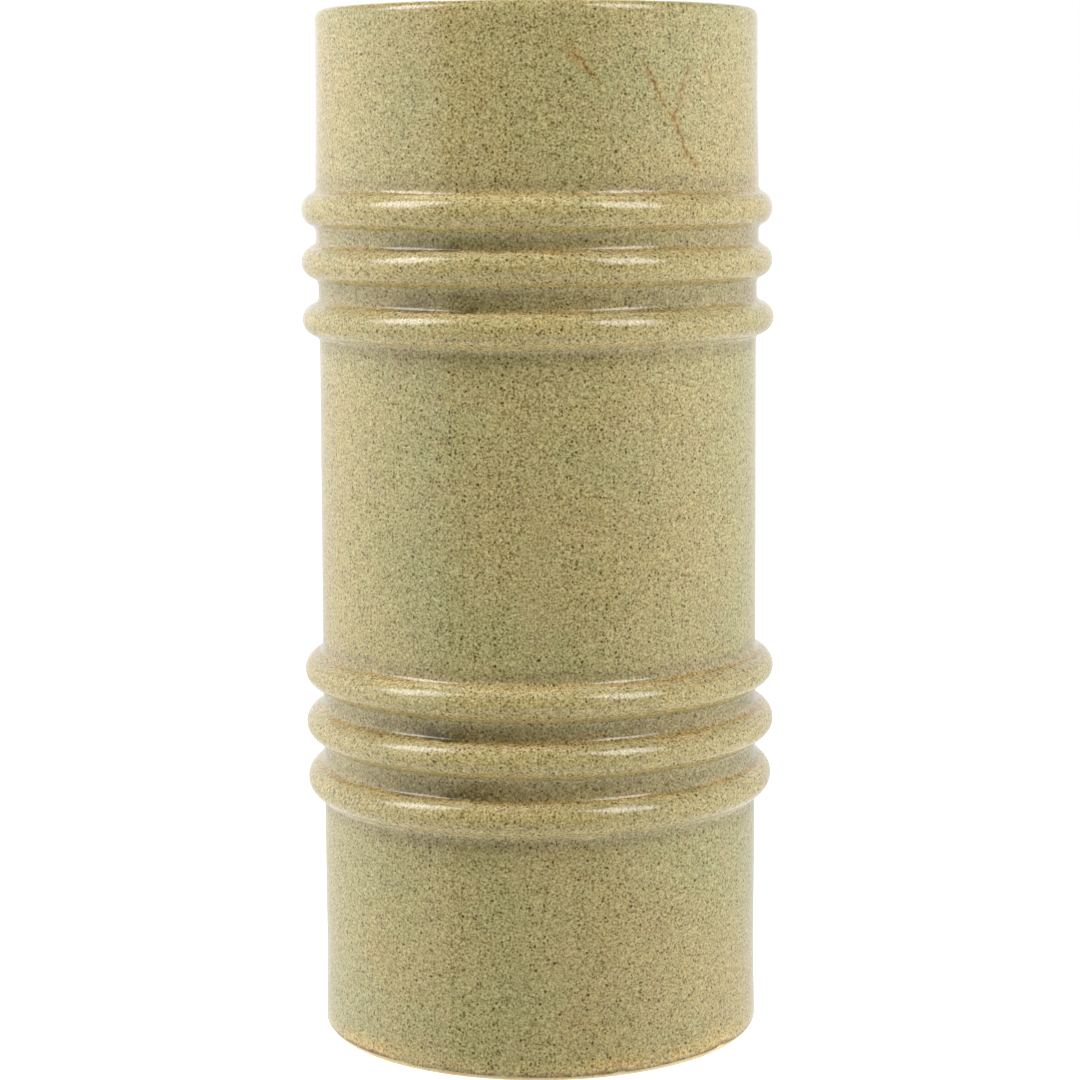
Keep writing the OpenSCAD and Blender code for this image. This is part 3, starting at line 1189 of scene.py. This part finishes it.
# That light is weaker from the left of the camera, where the dark end of the studio is.
FILL_SIDES = [(-180, 1.0), (-105, 1.0), (-70, 0.75), (-15, 0.68), (10, 0.98), (180, 1.0)]
world = bpy.data.worlds.new("pale_studio")
world.use_nodes = True
sky = world.node_tree
sky.nodes.clear()
direction = node(sky, "TexCoord").outputs["Generated"]
parts = node(sky, "SeparateXYZ", {0: direction})
towards_camera = node(sky, "Math", {0: parts.outputs["Y"], 1: -1.0}, operation="MULTIPLY")
azimuth = node(sky, "Math", {0: parts.outputs["X"], 1: towards_camera}, operation="ARCTAN2")
share = node(sky, "MapRange", {"Value": azimuth, "From Min": -math.pi, "From Max": math.pi})
stops = [((angle + 180) / 360, [level / SURROUND_PEAK] * 3 + [1]) for angle, level in SURROUND]
ring_of_light = node(sky, "ValToRGB", {0: share}, stops)
heights = node(sky, "MapRange", {"Value": parts.outputs["Z"], "From Min": -1.0, "From Max": 1.0})
stops = [((height + 1) / 2, [level] * 3 + [1]) for height, level in SURROUND_HEIGHTS]
fade = node(sky, "ValToRGB", {0: heights}, stops)
fade = node(sky, "Math", {0: fade, 1: SURROUND_PEAK}, operation="MULTIPLY")
stops = [((height + 1) / 2, [level] * 3 + [1]) for height, level in SOFT_FILL]
fill = node(sky, "ValToRGB", {0: heights}, stops)
stops = [((angle + 180) / 360, [level] * 3 + [1]) for angle, level in FILL_SIDES]
fill_side = node(sky, "ValToRGB", {0: share}, stops)
fill = node(sky, "Math", {0: fill, 1: fill_side}, operation="MULTIPLY")
lit = node(sky, "Math", {0: ring_of_light, 1: fade, 2: fill}, operation="MULTIPLY_ADD")
seen = node(sky, "LightPath").outputs["Is Camera Ray"]
strength = node(sky, "Mix", {"Factor": seen, "A": lit, "B": 1.0})
glow = node(sky, "Background", {"Color": linear("#FFFFFF"), "Strength": strength})
node(sky, "OutputWorld", {"Surface": glow})
bpy.context.scene.world = world
print("brightest side of the surround:", max(SURROUND, key=lambda stop: stop[1]))


# %% Soft lights
# The two boxes are alike: metres from the pot, size in metres, height above it in degrees.
BOX_DISTANCE = 1.3
BOX_WIDTH = 0.85
BOX_HEIGHT = 1.15
BOX_ELEVATION = 44
# Share of a box that is at full brightness, before it fades to its edge.
SOFT_CORE = 0.3


def soft_light(name, azimuth, brightness):
    """A soft box, brightest in its middle. azimuth is in degrees from the camera to the right."""
    lamp = bpy.data.lights.new(name, "AREA")
    lamp.shape = "RECTANGLE"
    lamp.size = BOX_WIDTH
    lamp.size_y = BOX_HEIGHT
    lamp.energy = brightness * math.pi * BOX_WIDTH * BOX_HEIGHT
    lamp.use_nodes = True
    tree = lamp.node_tree
    tree.nodes.clear()
    spot = node(tree, "NewGeometry").outputs["Parametric"]
    from_middle = node(tree, "VectorMath", {0: spot, 1: [0.5] * 3}, operation="SUBTRACT")
    from_middle = node(tree, "VectorMath", {0: from_middle}, operation="ABSOLUTE")
    from_middle = node(tree, "SeparateXYZ", {0: from_middle})
    glow = 1.0
    for side in ("X", "Y"):
        out = from_middle.outputs[side]
        fade = node(
            tree,
            "MapRange",
            {"Value": out, "From Min": SOFT_CORE / 2, "From Max": 0.5, "To Min": 1.0, "To Max": 0.0},
            interpolation_type="SMOOTHSTEP",
        )
        glow = node(tree, "Math", {0: fade, 1: glow}, operation="MULTIPLY")
    glow = node(tree, "Emission", {"Strength": glow})
    node(tree, "OutputLight", {"Surface": glow})
    light = bpy.data.objects.new(name, lamp)
    turn = math.radians(azimuth)
    tilt = math.radians(BOX_ELEVATION)
    away = Vector((math.sin(turn) * math.cos(tilt), -math.cos(turn) * math.cos(tilt), math.sin(tilt)))
    light.location = Vector((0, 0, lip_top * MM / 2)) + away * BOX_DISTANCE
    light.rotation_euler = (-away).to_track_quat("-Z", "Y").to_euler()
    light.visible_camera = False
    bpy.context.scene.collection.objects.link(light)
    print(f"{name}: {lamp.energy:.1f} W")


soft_light("left_soft_light", azimuth=-78, brightness=7.9)
soft_light("right_soft_light", azimuth=51, brightness=7.4)

# %% Camera
# Place in metres, angles in degrees, lens and sensor in millimetres.
CAMERA_PLACE = (0.00034, -0.7751, 0.2448)
CAMERA_PITCH = 8.038
CAMERA_ROLL = -0.26
LENS_LENGTH = 94.12
SENSOR_WIDTH = 36.0
NEAREST_SEEN = 0.01
lens = bpy.data.cameras.new("studio_camera")
lens.lens = LENS_LENGTH
lens.sensor_width = SENSOR_WIDTH
lens.clip_start = NEAREST_SEEN
camera = bpy.data.objects.new("studio_camera", lens)
down = Matrix.Rotation(math.radians(90 - CAMERA_PITCH), 3, "X")
roll = Matrix.Rotation(math.radians(CAMERA_ROLL), 3, "Z")
aim = down @ roll
camera.location = CAMERA_PLACE
camera.rotation_euler = aim.to_euler()
bpy.context.scene.collection.objects.link(camera)
bpy.context.scene.camera = camera
bpy.context.scene.view_settings.view_transform = "Standard"
print("camera looks down by", CAMERA_PITCH, "degrees")
